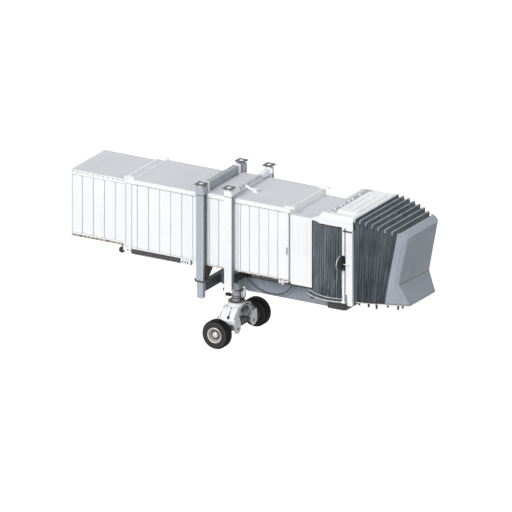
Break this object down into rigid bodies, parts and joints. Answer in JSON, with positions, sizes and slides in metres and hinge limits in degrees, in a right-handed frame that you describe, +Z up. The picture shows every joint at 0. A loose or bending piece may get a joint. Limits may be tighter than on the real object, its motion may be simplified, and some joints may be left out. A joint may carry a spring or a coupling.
{
  "type": "jet bridge",
  "caption": "Telescoping jet bridge with lifting portals, a steered wheel bogie, a turning cab and a pleated canopy, cut off at the wall end.",
  "frame": {"origin": "on the wall face of the inner end frame, in the middle of its sill, about 4 m above the apron", "axes": "+X along the tunnel from the wall to the cab, +Z up, the steered mirror side is -Y"},
  "size_m": [16.22, 4.1998, 7.2128],
  "materials": {
    "white_paint": "satin white coat",
    "roof_coat": "matt light grey coat",
    "blue_paint": "satin blue-grey coat",
    "dark_paint": "satin dark grey coat",
    "grey_paint": "satin mid grey coat",
    "sill": "matt beige coat",
    "tyre": "matt black rubber",
    "rim": "worn bare steel",
    "plastic_black": "matt black",
    "cable": "matt black",
    "pleat_fabric": "coated dark blue-grey cloth",
    "front_fabric": "coated light blue-grey cloth",
    "mirror_glass": "silvered convex glass"
  },
  "bodies": {
    "tunnel_a": {"inner_end_frame": "white_paint", "floor_a": "sill", "roof_a": "roof_coat", "near_wall_a": "white_paint", "far_wall_a": "white_paint"},
    "tunnel_b": {"ring_frame_b": "white_paint", "floor_b": "sill", "roof_b": "roof_coat", "near_wall_b": "white_paint", "far_wall_b": "white_paint", "under_brackets_b": "white_paint", "rollers": "plastic_black", "cable_chain": "plastic_black"},
    "tunnel_c": {"floor_c": "sill", "rollers_c": "plastic_black", "roof_c": "roof_coat", "near_wall_c": "white_paint", "far_wall_c": "white_paint", "end_frame_c": "white_paint", "cable_tray": "dark_paint", "tray_bracket": "white_paint", "roof_stay": "white_paint", "under_beam": "blue_paint", "cross_members": "dark_paint", "cab_base": "dark_paint", "drum_ring": "sill", "supply_cable": "cable", "cable_glands": "plastic_black", "vestibule_floor": "sill", "vestibule_walls": "white_paint", "vestibule_roof": "roof_coat", "blue_columns": "blue_paint", "blue_top_beam": "blue_paint", "white_columns": "white_paint", "white_top_beam": "grey_paint", "portal_caps": "white_paint"},
    "carriage": {"inner_legs": "blue_paint", "cross_beam": "dark_paint", "saddle_beam": "blue_paint", "slewing_post": "grey_paint", "drive_motor": "plastic_black"},
    "bogie": {"yoke": "white_paint", "axle": "dark_paint"},
    "wheel_near": {"tyre_near": "tyre", "rim_near": "rim"},
    "wheel_far": {"tyre_far": "tyre", "rim_far": "rim"},
    "cab": {"cab_floor": "dark_paint", "cab_hood": "white_paint", "cab_rear_roof": "roof_coat", "front_columns": "white_paint", "side_curtains": "pleat_fabric", "mirror": "plastic_black", "mirror_glass": "mirror_glass", "canopy_hoops": "pleat_fabric", "canopy_roof": "pleat_fabric", "canopy_sides": "pleat_fabric", "canopy_front": "front_fabric", "canopy_trim": "sill"}
  },
  "joints": [
    {"name": "tunnel_b_slide", "type": "slide", "parent": "tunnel_a", "child": "tunnel_b", "axis": [1, 0, 0], "range_m": [-2.2, 2.3]},
    {"name": "tunnel_c_slide", "type": "slide", "parent": "tunnel_b", "child": "tunnel_c", "axis": [1, 0, 0], "range_m": [-0.6, 2.2]},
    {"name": "lift", "type": "slide", "parent": "tunnel_c", "child": "carriage", "axis": [0, 0, -1], "range_m": [0, 1.2]},
    {"name": "bogie_steer", "type": "hinge", "parent": "carriage", "child": "bogie", "pos_m": [7.2, 0, -2.2], "axis": [0, 0, 1], "range_deg": [-90, 90]},
    {"name": "near_wheel_spin", "type": "hinge", "parent": "bogie", "child": "wheel_near", "pos_m": [7.2, -1.629, -3.167], "axis": [0, 1, 0], "continuous": true},
    {"name": "far_wheel_spin", "type": "hinge", "parent": "bogie", "child": "wheel_far", "pos_m": [7.2, 1.629, -3.167], "axis": [0, 1, 0], "continuous": true},
    {"name": "cab_turn", "type": "hinge", "parent": "tunnel_c", "child": "cab", "pos_m": [12.65, 0, -0.6], "axis": [0, 0, 1], "range_deg": [-45, 45]}
  ]
}
